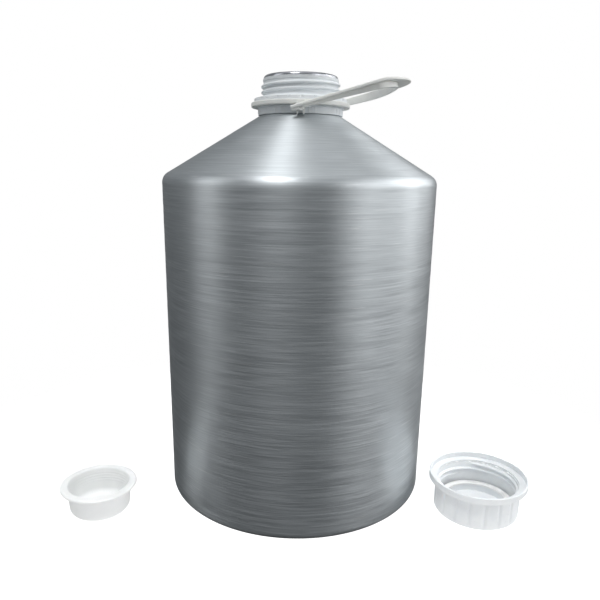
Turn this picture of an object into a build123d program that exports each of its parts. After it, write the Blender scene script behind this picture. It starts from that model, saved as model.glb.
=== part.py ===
from build123d import *
import os
from math import cos, radians, sin, tan

# A ten litre aluminium bottle for laboratory liquids, with its closure taken off and standing
# beside it. Millimetres, +Z up, origin on the bottle's axis in the plane it stands on. -Y is the
# front. The pieces are the spun bottle, the threaded neck collar that its curled mouth traps, the
# ring that turns round the collar, the bail handle hinged on the ring, the cup-shaped inner plug,
# and the screw cap with its lock band, band bridges and gasket.

# ---- Bottle -----------------------------------------------------------------------------------
BODY_RADIUS = 108.0
BODY_HEIGHT = 259.0  # up to the sharp corner of the shoulder
BODY_WALL = 1.3
BASE_CORNER = 5.0
SHOULDER_CORNER = 9.0
SHOULDER_ANGLE = 31.1  # degrees below the horizontal
FOOT_WIDTH = 9.0  # flat ring that the bottle stands on
DISH_DEPTH = 3.0
DISH_SLOPE = 6.0  # width of the slope between the foot and the raised base
NECK_BORE = 24.3  # radius
NECK_WALL = 1.1
NECK_ROOT_CORNER = 2.5
CURL_RADIUS = 2.2

SIDE_ROOM = 77.0  # for the loose pieces, at each side of the bottle

# ---- Neck collar ------------------------------------------------------------------------------
COLLAR_FIT = 0.05  # between the collar and the neck, all round
SKIRT_STEP = 7.6  # from the neck's outside to the skirt's outside
SKIRT_GAP = 0.95  # from the skirt's edge down to the shoulder
SKIRT_DROP = 5.9  # from the ring down to the skirt's edge
SKIRT_WALL = 1.4
SEAT_GAP = 0.2  # between the collar's underside and the shoulder
LOCK_STEP = 3.0  # from the skirt to the lock flange's edge
LOCK_HEIGHT = 2.9  # at its edge
LOCK_CROWN = 1.1  # further rise towards the sleeve
SLEEVE_FLARE = 2.5  # fillet radius where the sleeve meets the lock flange
LOCK_TEETH = 24
LOCK_TOOTH_DEPTH = 0.8
LOCK_NOTCH_SHARE = 0.5  # of each tooth's pitch
LOCK_RIM = 0.9  # plain edge under the teeth
THREAD_WALL = 3.4  # sleeve wall under the thread
THREAD_DEPTH = 1.8
THREAD_FOOT = 2.9  # width of the ridge where it leaves its wall
THREAD_CREST = 0.8
THREAD_SINK = 0.2  # how far the ridge reaches into its wall
THREAD_PITCH = 4.13
THREAD_TURNS = 2
THREAD_START = 92.0  # degrees from +X, at the thread's lower end
THREAD_BELOW = 3.5  # plain length between the lock flange and the thread
THREAD_ABOVE = 2.74  # plain length between the thread and the collar's top
LIP_HEIGHT = 0.8  # thicker band at the collar's top, round the curled mouth
LIP_STEP = 0.4
CURL_REVEAL = 2.4  # how far the curled mouth stands above the collar
BEAD_DEPTH = 0.8  # snap bead that carries the ring
BEAD_HEIGHT = 0.8
SPLINE_PAIRS = 8
SPLINE_SPREAD = 8.0  # degrees between the two splines of a pair
SPLINE_FIRST = -30.0  # degrees from the front, at the middle of a pair
SPLINE_DEPTH = 0.4
SPLINE_WIDTH = 1.0
SPLINE_HEIGHT = 4.2
SPLINE_LIFT = 0.4  # above the skirt's edge
MOULDED_EDGE = 0.3  # edge radius of the moulded pieces

# ---- Handle ring and handle -------------------------------------------------------------------
RING_BORE_GAP = 0.3
RING_WIDTH = 5.4  # from the skirt to the ring's edge
RING_HEIGHT = 3.4
RING_PLAY = 0.1  # above and below the ring
LUG_WIDTH = 6.4
LUG_DROP = 7.0  # below the ring
LUG_PROUD = 0.2  # of the ring's edge
LUG_INNER_GAP = 0.4  # between the lug and the snap bead
LUG_SLOT_WIDTH = 3.8
LUG_SLOT_HEIGHT = 2.6
PIVOT_DROP = 2.6  # from the ring's underside to the pivot axis
PEG_RADIUS = 1.1
PEG_CLEARANCE = 0.08
PEG_SHORT = 0.5  # how far the peg ends short of the arm's outer face; the bail springs onto the pegs
PEG_SINK = 1.0  # how far the peg reaches into its lug
ARM_GAP = 0.4  # between the lug and the arm
ARM_THICKNESS = 2.2
ARM_TOP = 3.0  # upper edge of the arms above the pivot axis
ARM_TAIL_GAP = 0.57  # from the arm's end down to the shoulder, when the arm points up
ARM_ROOT_DEPTH = 0.9  # lower edge of the arms below the pivot axis
ARM_MIDDLE_DEPTH = 2.6
ARM_END_DEPTH = 4.2
ARM_STRAIGHT = 56.0  # length of the straight part of the arms
EYE_RADIUS = 2.3
HANDLE_REACH = 87.0  # from the pivot axis to the flange's tip
DROOP_START = 64.0  # beyond here the bail's upper edge falls away
TIP_DROOP = 4.2
FLANGE_THICKNESS = 2.2
FLANGE_TIP_THICKNESS = 1.6
FLANGE_ARM_WIDTH = 2.2
FLANGE_TIP_WIDTH = 10.5
FLANGE_ROOT_WIDTH = 0.8
HANDLE_ANGLE = 16.4  # degrees above the horizontal, as it stands at rest

# ---- Screw cap --------------------------------------------------------------------------------
CAP_AHEAD = 60.0  # in front of the bottle's axis
CAP_WALL = 1.15
CAP_RIB_DEPTH = 0.8
CAP_PANELS = 18
CAP_GROOVE_RADIUS = 1.4
CAP_CROWN = 2.0
CAP_EDGE = 3.5
CAP_THREAD_GAP = 0.45  # between the collar's thread and the cap's wall
CAP_THREAD_DROP = 1.65  # from the skirt's edge to the end of the thread
CAP_SKIRT_LENGTH = 25.0
BRIDGE_COUNT = 8
BRIDGE_LENGTH = 0.6
BRIDGE_RADIUS = 0.45
BAND_GAP = 0.6  # between the lock flange and the band
BAND_WALL = 1.6
BAND_HEIGHT = 5.4
BAND_LIP = 1.2
BAND_LIP_STEP = 0.3  # between the cap's inside and the lip's inside
BAND_EDGE = 0.9
BAND_SEAT_GAP = 0.3  # between the band and the ring when the cap is screwed home
PAWL_COUNT = 8
PAWL_DEPTH = 0.45
PAWL_HEIGHT = 2.2
PAWL_WIDTH = 3.0
PAWL_LIFT = 0.8  # above the lip
GASKET_THICKNESS = 1.6
GASKET_WIDTH = 5.0
GASKET_GAP = 0.4  # between the gasket and the cap's thread
BOSS_WIDTH = 3.8

# ---- Inner plug -------------------------------------------------------------------------------
PLUG_AHEAD = 67.0  # in front of the bottle's axis
PLUG_FIT = 0.15  # between the plug's rim and the neck bore
PLUG_HEIGHT = 22.9
PLUG_FLANGE = 2.5
PLUG_OVERHANG = 4.8  # flange beyond the neck bore
PLUG_WALL = 1.1
PLUG_TAPER = 1.5  # how much narrower the cup is near its floor
PLUG_CORNER = 5.5
PLUG_FLANGE_EDGE = 1.1

# ---- Places worked out from the sizes above ---------------------------------------------------
slope = tan(radians(SHOULDER_ANGLE))
neck_outer = NECK_BORE + NECK_WALL
neck_root = BODY_HEIGHT + (BODY_RADIUS - neck_outer) * slope


def shoulder_height(radius):
    """Height of the shoulder cone at a radius."""
    return neck_root - (radius - neck_outer) * slope


skirt_radius = neck_outer + SKIRT_STEP
lock_radius = skirt_radius + LOCK_STEP
skirt_bottom = shoulder_height(skirt_radius) + SKIRT_GAP
ring_bottom = skirt_bottom + SKIRT_DROP
ring_top = ring_bottom + RING_HEIGHT
lock_bottom = ring_top + RING_PLAY
lock_top = lock_bottom + LOCK_HEIGHT
thread_bottom = lock_top + THREAD_BELOW
thread_top = thread_bottom + THREAD_TURNS * THREAD_PITCH
collar_top = thread_top + THREAD_ABOVE
mouth = collar_top + CURL_REVEAL
thread_root = neck_outer + THREAD_WALL
thread_crest = thread_root + THREAD_DEPTH
bead_radius = skirt_radius + BEAD_DEPTH

pivot_height = ring_bottom - PIVOT_DROP
lug_inner = bead_radius + LUG_INNER_GAP
ring_radius = skirt_radius + RING_WIDTH
lug_outer = ring_radius + LUG_PROUD
arm_inner = lug_outer + ARM_GAP
arm_outer = arm_inner + ARM_THICKNESS
arm_tail = pivot_height - shoulder_height(arm_inner) - ARM_TAIL_GAP
peg_end = arm_outer - PEG_SHORT

cap_inner = thread_crest + CAP_THREAD_GAP
cap_groove_floor = cap_inner + CAP_WALL
cap_radius = cap_groove_floor + CAP_RIB_DEPTH
band_inner = lock_radius + BAND_GAP
band_outer = band_inner + BAND_WALL
band_bottom = CAP_SKIRT_LENGTH + BRIDGE_LENGTH
cap_height = band_bottom + BAND_HEIGHT
band_lip_inner = cap_inner + BAND_LIP_STEP
# When the cap is screwed home its band rests just above the ring and its gasket on the plug.
closed_crown = ring_top + BAND_SEAT_GAP + cap_height
gasket_face = closed_crown - (mouth + PLUG_FLANGE)
boss_top = gasket_face - GASKET_THICKNESS
gasket_outer = cap_inner - THREAD_DEPTH - GASKET_GAP
gasket_inner = gasket_outer - GASKET_WIDTH
plug_rim = NECK_BORE - PLUG_FIT
plug_flange_radius = NECK_BORE + PLUG_OVERHANG
cap_x = BODY_RADIUS + SIDE_ROOM - band_outer
plug_x = plug_flange_radius - BODY_RADIUS - SIDE_ROOM


# ---- Helpers ----------------------------------------------------------------------------------
def turned(points, radii):
    """Solid of revolution about Z from (radius, height) corners, each with its fillet radius."""
    outline = FilletPolyline(*points, radius=radii, close=True)
    return revolve(Plane.XZ * make_face(outline), Axis.Z, 360)


def around(count, radius, first=0.0):
    """Places on a circle about Z, each with its own X pointing outwards."""
    return [Rot(0, 0, first + i * 360 / count) * Pos(radius, 0, 0) for i in range(count)]


def tube(outer, inner, bottom, top):
    """Plain ring about Z."""
    height = top - bottom
    ring = Cylinder(outer, height) - Cylinder(inner, height)
    return Pos(0, 0, (bottom + top) / 2) * ring


def thread_ridge(root, crest, bottom):
    """Right-hand helical ridge of trapezoid section, which reaches a little into its wall."""
    inward = -1 if crest < root else 1
    foot = root - inward * THREAD_SINK
    path = Helix(THREAD_PITCH, THREAD_TURNS * THREAD_PITCH, root)
    section = Plane(origin=path @ 0, x_dir=(1, 0, 0), z_dir=path % 0)
    corners = [
        (foot - root, -THREAD_FOOT / 2),
        (crest - root, -THREAD_CREST / 2),
        (crest - root, THREAD_CREST / 2),
        (foot - root, THREAD_FOOT / 2),
    ]
    profile = section * make_face(Polyline(*corners, close=True))
    ridge = sweep(profile, path=path, is_frenet=True)
    return Pos(0, 0, bottom) * Rot(0, 0, THREAD_START) * ridge


# ---- Bottle -----------------------------------------------------------------------------------
def bottle_shell():
    """One-piece spun bottle: dished base, straight wall, conical shoulder, neck, curled mouth."""
    foot_inner = BODY_RADIUS - BASE_CORNER - FOOT_WIDTH
    dish_edge = foot_inner - DISH_SLOPE
    outside = [
        (0, DISH_DEPTH),
        (dish_edge, DISH_DEPTH),
        (foot_inner, 0),
        (BODY_RADIUS, 0),
        (BODY_RADIUS, BODY_HEIGHT),
        (neck_outer, neck_root),
        (neck_outer, mouth - CURL_RADIUS),
        (0, mouth - CURL_RADIUS),
    ]
    outside_radii = [0, 4, 2, BASE_CORNER, SHOULDER_CORNER, NECK_ROOT_CORNER, 0, 0]
    inner_radius = BODY_RADIUS - BODY_WALL
    # The shoulder is offset square to its own slope, so its wall is as thick as the rest.
    cone_drop = BODY_WALL / cos(radians(SHOULDER_ANGLE))
    inner_corner = BODY_HEIGHT + (BODY_RADIUS - inner_radius) * slope - cone_drop
    inner_root = shoulder_height(NECK_BORE) - cone_drop
    inside = [
        (0, DISH_DEPTH + BODY_WALL),
        (dish_edge, DISH_DEPTH + BODY_WALL),
        (foot_inner, BODY_WALL),
        (inner_radius, BODY_WALL),
        (inner_radius, inner_corner),
        (NECK_BORE, inner_root),
        (NECK_BORE, mouth - CURL_RADIUS + 1),
        (0, mouth - CURL_RADIUS + 1),
    ]
    inside_corner = NECK_ROOT_CORNER + BODY_WALL
    inside_radii = [
        0, 4, 2, BASE_CORNER - BODY_WALL, SHOULDER_CORNER - BODY_WALL, inside_corner, 0, 0,
    ]
    wall = turned(outside, outside_radii) - turned(inside, inside_radii)
    return wall + mouth_curl()


def mouth_curl():
    """The mouth's edge rolled outwards through three quarters of a turn."""
    centre = (NECK_BORE + CURL_RADIUS, mouth - CURL_RADIUS)
    roll = Pos(*centre) * (Circle(CURL_RADIUS) - Circle(CURL_RADIUS - NECK_WALL))
    half = CURL_RADIUS / 2
    open_quarter = Pos(centre[0] - half, centre[1] - half) * Rectangle(CURL_RADIUS, CURL_RADIUS)
    return revolve(Plane.XZ * (roll - open_quarter), Axis.Z, 360)


# ---- Neck collar ------------------------------------------------------------------------------
def neck_collar():
    """Threaded sleeve with its lock flange, splined skirt and the snap bead under the ring."""
    bore = neck_outer + COLLAR_FIT
    skirt_inner = skirt_radius - SKIRT_WALL
    throat = neck_outer + 1.25 * NECK_ROOT_CORNER
    corners = [
        (bore, neck_root + NECK_ROOT_CORNER),
        (throat, shoulder_height(throat) + SEAT_GAP),
        (skirt_inner, shoulder_height(skirt_inner) + SEAT_GAP),
        (skirt_radius, skirt_bottom),
        (skirt_radius, lock_bottom),
        (lock_radius, lock_bottom),
        (lock_radius, lock_top),
        (thread_root, lock_top + LOCK_CROWN),
        (thread_root, collar_top - LIP_HEIGHT - LIP_STEP),
        (thread_root + LIP_STEP, collar_top - LIP_HEIGHT),
        (thread_root + LIP_STEP, collar_top),
        (bore, collar_top),
    ]
    edge = MOULDED_EDGE
    body = turned(corners, [0, 0, 0, edge, 0, edge, edge, SLEEVE_FLARE, 0, 0, edge / 2, 0])
    bead_top = ring_bottom - RING_PLAY
    body += tube(bead_radius, skirt_radius - BEAD_DEPTH, bead_top - BEAD_HEIGHT, bead_top)
    spline = Box(2 * SPLINE_DEPTH, SPLINE_WIDTH, SPLINE_HEIGHT)
    spline_middle = skirt_bottom + SPLINE_LIFT + SPLINE_HEIGHT / 2
    for pair in range(SPLINE_PAIRS):
        middle = SPLINE_FIRST - 90 + pair * 360 / SPLINE_PAIRS
        for turn in (middle - SPLINE_SPREAD / 2, middle + SPLINE_SPREAD / 2):
            body += Rot(0, 0, turn) * Pos(skirt_radius, 0, spline_middle) * spline
    # Ratchet teeth round the lock flange are what is left between slanting notches.
    spread = radians(360 / LOCK_TEETH * LOCK_NOTCH_SHARE)
    beyond = lock_radius + 1
    triangle = [
        (lock_radius - LOCK_TOOTH_DEPTH, 0),
        (beyond, 0),
        (beyond * cos(spread), beyond * sin(spread)),
    ]
    notch = extrude(make_face(Polyline(*triangle, close=True)), LOCK_HEIGHT)
    notch = Pos(0, 0, lock_bottom + LOCK_RIM) * notch
    body -= [Rot(0, 0, i * 360 / LOCK_TEETH) * notch for i in range(LOCK_TEETH)]
    seat = Torus(NECK_BORE + CURL_RADIUS, CURL_RADIUS + COLLAR_FIT)
    body -= Pos(0, 0, mouth - CURL_RADIUS) * seat
    return body + thread_ridge(thread_root, thread_crest, thread_bottom)


# ---- Handle ring and handle -------------------------------------------------------------------
def handle_ring():
    """Ring that turns between the lock flange and the snap bead, with two lugs and their pegs."""
    ring = tube(ring_radius, skirt_radius + RING_BORE_GAP, ring_bottom, ring_top)
    lug_bottom = ring_bottom - LUG_DROP
    lug_top = ring_bottom + RING_HEIGHT / 2
    lug_middle = (lug_inner + lug_outer) / 2
    lug_depth = lug_outer - lug_inner
    lug = Box(lug_depth, LUG_WIDTH, lug_top - lug_bottom)
    lug = Pos(lug_middle, 0, (lug_bottom + lug_top) / 2) * lug
    slot = Box(2 * lug_depth, LUG_SLOT_WIDTH, LUG_SLOT_HEIGHT)
    lug -= Pos(lug_middle, 0, lug_bottom + LUG_SLOT_HEIGHT / 2) * slot
    peg_start = lug_outer - PEG_SINK
    peg = Cylinder(PEG_RADIUS, peg_end - peg_start)
    peg = Pos((peg_start + peg_end) / 2, 0, pivot_height) * Rot(0, 90, 0) * peg
    for turn in (-90, 90):
        ring += Rot(0, 0, turn) * (lug + peg)
    return ring


def bail_outline(half_width, end, root_half_width=None):
    """Flat U shape, open at the pivots: two straight arms joined by half an ellipse. The arms are
    narrower at the pivots if a half width is given for there."""
    root = root_half_width or half_width
    arms = [(-arm_tail, -root), (ARM_STRAIGHT, -half_width), (ARM_STRAIGHT, half_width), (-arm_tail, root)]
    bow = Pos(ARM_STRAIGHT, 0) * Ellipse(end - ARM_STRAIGHT, half_width)
    return make_face(Polyline(*arms, close=True)) + bow


def bail_side(corners, radii):
    """Slab as wide as the bail, cut to a side outline of (distance from the pivot, height) corners."""
    outline = make_face(FilletPolyline(*corners, radius=radii, close=True))
    return extrude(Plane.XZ * outline, 2 * arm_outer, both=True)


def carry_handle():
    """Bail of angle section: an upright web that deepens away from the pivots, and a flange along its
    upper edge that widens and droops at the grip. It is drawn flat, X along the arms and Z up."""
    web_end = HANDLE_REACH - FLANGE_TIP_WIDTH
    depth = ARM_TOP + ARM_END_DEPTH
    tip_top = ARM_TOP - TIP_DROOP
    outer = bail_outline(arm_outer, web_end)
    inner = bail_outline(arm_inner, web_end - ARM_THICKNESS)
    tail_cut = Pos(-2 * arm_tail, 0) * Rectangle(2 * arm_tail, 4 * arm_outer)
    web = Pos(0, 0, -ARM_END_DEPTH) * extrude(outer - inner - tail_cut, depth)
    web_side = [
        (-arm_tail, ARM_TOP),
        (-arm_tail, -ARM_ROOT_DEPTH),
        (arm_tail / 3, -ARM_ROOT_DEPTH),
        (ARM_STRAIGHT * 0.75, -ARM_MIDDLE_DEPTH),
        (HANDLE_REACH, -ARM_END_DEPTH - 1),
        (HANDLE_REACH, tip_top),
        (DROOP_START, ARM_TOP),
    ]
    web &= bail_side(web_side, [1, 1, 2, 20, 0, 0, 20])
    flange_half_width = arm_outer + FLANGE_ARM_WIDTH
    flange = bail_outline(flange_half_width, HANDLE_REACH, arm_outer + FLANGE_ROOT_WIDTH)
    flange -= bail_outline((arm_inner + arm_outer) / 2, web_end - ARM_THICKNESS / 2)
    flange_side = [
        (-arm_tail, ARM_TOP),
        (-arm_tail, ARM_TOP - FLANGE_THICKNESS),
        (DROOP_START, ARM_TOP - FLANGE_THICKNESS),
        (HANDLE_REACH, tip_top - FLANGE_TIP_THICKNESS),
        (HANDLE_REACH, tip_top),
        (DROOP_START, ARM_TOP),
    ]
    flange_slab = Pos(0, 0, -ARM_END_DEPTH) * extrude(flange, depth)
    web += flange_slab & bail_side(flange_side, [1, 1, 20, 0, 0, 20])
    for side_sign in (-1, 1):
        across = Pos(0, side_sign * (arm_inner + arm_outer) / 2, 0) * Rot(90, 0, 0)
        web += across * Cylinder(EYE_RADIUS, ARM_THICKNESS)
        web -= across * Cylinder(PEG_RADIUS + PEG_CLEARANCE, 2 * ARM_THICKNESS)
    return Pos(0, 0, pivot_height) * Rot(0, -HANDLE_ANGLE, 0) * web


# ---- Screw cap, standing on its crown ---------------------------------------------------------
def cap_shell():
    """Fluted cap with its crown down: threaded skirt and the boss that presses the gasket."""
    boss_outer = (gasket_inner + gasket_outer + BOSS_WIDTH) / 2
    corners = [
        (0, 0),
        (cap_radius, 0),
        (cap_radius, CAP_SKIRT_LENGTH),
        (cap_inner, CAP_SKIRT_LENGTH),
        (cap_inner, CAP_CROWN),
        (boss_outer, CAP_CROWN),
        (boss_outer, boss_top),
        (boss_outer - BOSS_WIDTH, boss_top),
        (boss_outer - BOSS_WIDTH, CAP_CROWN),
        (0, CAP_CROWN),
    ]
    edge = MOULDED_EDGE
    shell = turned(corners, [0, CAP_EDGE, edge, edge, edge, 0, edge, edge, 0, 0])
    groove_length = CAP_SKIRT_LENGTH - CAP_EDGE + 1
    groove = Cylinder(CAP_GROOVE_RADIUS, groove_length)
    groove_at = cap_groove_floor + CAP_GROOVE_RADIUS
    places = around(CAP_PANELS, groove_at, 360 / CAP_PANELS / 4)
    middle = Pos(0, 0, CAP_EDGE + groove_length / 2)
    shell -= [middle * place * groove for place in places]
    ridge_bottom = CAP_SKIRT_LENGTH - CAP_THREAD_DROP - THREAD_TURNS * THREAD_PITCH
    return shell + thread_ridge(cap_inner, cap_inner - THREAD_DEPTH, ridge_bottom)


def band_bridges():
    """The thin posts that hold the lock band to the cap until it is first opened."""
    post = Cylinder(BRIDGE_RADIUS, BRIDGE_LENGTH)
    height = Pos(0, 0, CAP_SKIRT_LENGTH + BRIDGE_LENGTH / 2)
    places = around(BRIDGE_COUNT, (cap_inner + cap_groove_floor) / 2, 10)
    return Compound([height * place * post for place in places])


def lock_band():
    """Band with an inward lip over the cap's skirt and pawls for the collar's ratchet."""
    corners = [
        (band_lip_inner, band_bottom),
        (band_outer, band_bottom),
        (band_outer, cap_height),
        (band_inner, cap_height),
        (band_inner, band_bottom + BAND_LIP),
        (band_lip_inner, band_bottom + BAND_LIP),
    ]
    edge = MOULDED_EDGE
    band = turned(corners, [0, BAND_EDGE, edge, edge, edge, 0])
    pawl_side = [(PAWL_DEPTH, 0), (-PAWL_DEPTH, 0), (PAWL_DEPTH, PAWL_HEIGHT)]
    pawl = extrude(Plane.XZ * make_face(Polyline(*pawl_side, close=True)), PAWL_WIDTH / 2, both=True)
    height = Pos(0, 0, band_bottom + BAND_LIP + PAWL_LIFT)
    band += [height * place * pawl for place in around(PAWL_COUNT, band_inner, 20)]
    return band


def cap_gasket():
    """Flat sealing ring held on the cap's boss."""
    return tube(gasket_outer, gasket_inner, boss_top, gasket_face)


# ---- Inner plug -------------------------------------------------------------------------------
def inner_plug():
    """Cup pressed into the neck bore, with a flange that lands on the curled mouth."""
    flange_bottom = PLUG_HEIGHT - PLUG_FLANGE
    floor_radius = plug_rim - PLUG_TAPER
    corners = [
        (0, 0),
        (floor_radius, 0),
        (plug_rim, flange_bottom),
        (plug_flange_radius, flange_bottom),
        (plug_flange_radius, PLUG_HEIGHT),
        (plug_rim - PLUG_WALL, PLUG_HEIGHT),
        (floor_radius - PLUG_WALL, PLUG_WALL),
        (0, PLUG_WALL),
    ]
    edge = PLUG_FLANGE_EDGE
    radii = [0, PLUG_CORNER, 0.4, edge, edge, 1.2, PLUG_CORNER - PLUG_WALL, 0]
    return turned(corners, radii)


# ---- Write the nodes --------------------------------------------------------------------------
cap_place = Pos(cap_x, -CAP_AHEAD, 0)
nodes = {
    "bottle_shell": bottle_shell(),
    "neck_collar": neck_collar(),
    "handle_ring": handle_ring(),
    "carry_handle": carry_handle(),
    "cap_shell": cap_place * cap_shell(),
    "band_bridges": cap_place * band_bridges(),
    "lock_band": cap_place * lock_band(),
    "cap_gasket": cap_place * cap_gasket(),
    "inner_plug": Pos(plug_x, -PLUG_AHEAD, 0) * inner_plug(),
}
os.makedirs("parts", exist_ok=True)
for name, shape in nodes.items():
    export_step(shape, f"parts/{name}.step")
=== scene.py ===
import math

import bpy
import numpy as np
from mathutils import Euler, Matrix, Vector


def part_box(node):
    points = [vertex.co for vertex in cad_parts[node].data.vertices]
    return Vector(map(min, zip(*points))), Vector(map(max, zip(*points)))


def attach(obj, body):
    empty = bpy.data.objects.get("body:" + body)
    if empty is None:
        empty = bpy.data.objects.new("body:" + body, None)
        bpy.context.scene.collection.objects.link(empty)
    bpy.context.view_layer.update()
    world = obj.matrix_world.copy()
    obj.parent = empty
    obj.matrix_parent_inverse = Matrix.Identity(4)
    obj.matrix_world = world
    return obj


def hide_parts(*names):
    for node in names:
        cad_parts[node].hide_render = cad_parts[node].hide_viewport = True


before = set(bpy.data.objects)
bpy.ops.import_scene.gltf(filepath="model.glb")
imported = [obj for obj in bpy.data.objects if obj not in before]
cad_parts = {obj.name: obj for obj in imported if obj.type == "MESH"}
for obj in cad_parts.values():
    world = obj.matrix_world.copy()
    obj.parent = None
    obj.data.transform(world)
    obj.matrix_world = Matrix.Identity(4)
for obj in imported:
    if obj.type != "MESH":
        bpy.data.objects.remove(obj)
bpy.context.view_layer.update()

# A ten litre spun aluminium bottle with its closure taken off and standing beside it. Sizes are in
# millimetres until a mesh is made. The places of the pieces come from the boxes of the CAD nodes.
MM = 0.001
FULL_TURN = 2 * math.pi


def node_box(node):
    """Lowest and highest corner of a CAD node, in millimetres."""
    low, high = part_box(node)
    return np.array(low) / MM, np.array(high) / MM


# ---- Sizes of the bottle and its closure ------------------------------------------------------
bottle_low, bottle_high = node_box("bottle_shell")
collar_low, collar_high = node_box("neck_collar")
ring_low, ring_high = node_box("handle_ring")
cap_low, cap_high = node_box("cap_shell")
band_low, band_high = node_box("lock_band")
gasket_low, gasket_high = node_box("cap_gasket")
plug_low, plug_high = node_box("inner_plug")

BODY_RADIUS = (bottle_high[0] - bottle_low[0]) / 2
MOUTH = bottle_high[2]
BODY_HEIGHT = 259.0
BODY_WALL = 1.3
BASE_CORNER = 5.0
SHOULDER_CORNER = 9.0
SHOULDER_ANGLE = math.radians(31.1)
SLOPE = math.tan(SHOULDER_ANGLE)
FOOT_WIDTH = 9.0
DISH_DEPTH = 3.0
DISH_SLOPE = 6.0
NECK_BORE = 24.3
NECK_WALL = 1.1
NECK_OUTER = NECK_BORE + NECK_WALL
NECK_ROOT_CORNER = 2.5
CURL_RADIUS = 2.2
CURL_MIDDLE = (NECK_BORE + CURL_RADIUS, MOUTH - CURL_RADIUS)
NECK_ROOT = BODY_HEIGHT + (BODY_RADIUS - NECK_OUTER) * SLOPE

COLLAR_TOP = collar_high[2]
COLLAR_BORE = NECK_OUTER + 0.05
SKIRT_RADIUS = 33.0
SKIRT_INNER = 31.6
SKIRT_BOTTOM = NECK_ROOT - (SKIRT_RADIUS - NECK_OUTER) * SLOPE + 0.95
RING_TOP = ring_high[2]
RING_HEIGHT = 3.4
RING_BOTTOM = RING_TOP - RING_HEIGHT
LOCK_RADIUS = (collar_high[0] - collar_low[0]) / 2
LOCK_BOTTOM = RING_TOP + 0.1
LOCK_TOP = LOCK_BOTTOM + 2.9
LOCK_CROWN = 1.1
SLEEVE_RADIUS = 28.8
THREAD_DEPTH = 1.8
THREAD_FOOT = 2.9
THREAD_CREST = 0.8
THREAD_PITCH = 4.13
THREAD_TURNS = 2
THREAD_RUN_IN = 0.45
THREAD_START = math.radians(92)
THREAD_BOTTOM = LOCK_TOP + 3.5
LIP_HEIGHT = 2.0
LIP_STEP = 0.4
BEAD_RADIUS = 33.8


def shoulder_height(radius):
    """Height of the shoulder's cone at a radius."""
    return NECK_ROOT - (radius - NECK_OUTER) * SLOPE


# ---- Shapes -----------------------------------------------------------------------------------
# How close to each end of a straight stretch the next point lies.
EDGE_GUARD = 0.12


def arc(middle, radius, start, end, step):
    """Circular arc as (radius, height) points: middle + radius (cos, sin), start to end degrees."""
    count = max(3, math.ceil(abs(end - start) / step) + 1)
    turn = np.radians(np.linspace(start, end, count))
    return np.array(middle) + radius * np.stack([np.cos(turn), np.sin(turn)], 1)


def unit(vector):
    """The same direction with length one."""
    return vector / np.linalg.norm(vector)


def rounded(corners, radii, step=12.0, count=None):
    """Outline through the corners. A corner with a radius becomes the arc of that radius which is
    tangent to both of its sides: its ends lie radius / tan(half angle) from the corner."""
    runs = []
    for i, radius in enumerate(radii):
        here = np.array(corners[i], float)
        if radius == 0:
            runs.append(here[None])
            continue
        back = unit(np.array(corners[i - 1]) - here)
        ahead = unit(np.array(corners[(i + 1) % len(corners)]) - here)
        half = math.acos(np.clip(back @ ahead, -1, 1)) / 2
        middle = here + unit(back + ahead) * radius / math.sin(half)
        first = here + back * radius / math.tan(half) - middle
        last = here + ahead * radius / math.tan(half) - middle
        sweep = math.pi - 2 * half
        points = count or max(3, math.ceil(math.degrees(sweep) / step) + 1)
        share = np.linspace(0, 1, points)[:, None] * sweep
        runs.append(middle + (np.sin(sweep - share) * first + np.sin(share) * last) / math.sin(sweep))
    return np.concatenate(runs)


def spread(path, spacing, closed=False):
    """Adds points to the straight stretches of a path: one close to each end, which keeps the
    shading flat there, and between them points no further apart than spacing(middle) asks."""
    ends = np.roll(path, -1, 0) if closed else path[1:]
    runs = []
    for start, end in zip(path, ends):
        length = np.linalg.norm(end - start)
        inner = length - 2 * EDGE_GUARD
        share = np.zeros(1)
        if inner > 2 * EDGE_GUARD:
            count = max(1, math.ceil(inner / spacing((start + end) / 2)))
            share = np.append(0, np.linspace(EDGE_GUARD, length - EDGE_GUARD, count + 1) / length)
        runs.append(start + share[:, None] * (end - start))
    if not closed:
        runs.append(path[-1:])
    return np.concatenate(runs)


def smooth_step(value, low, high):
    """0 below low, 1 above high, and 3 s s - 2 s s s between them."""
    share = np.clip((value - low) / (high - low), 0, 1)
    return share * share * (3 - 2 * share)


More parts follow.
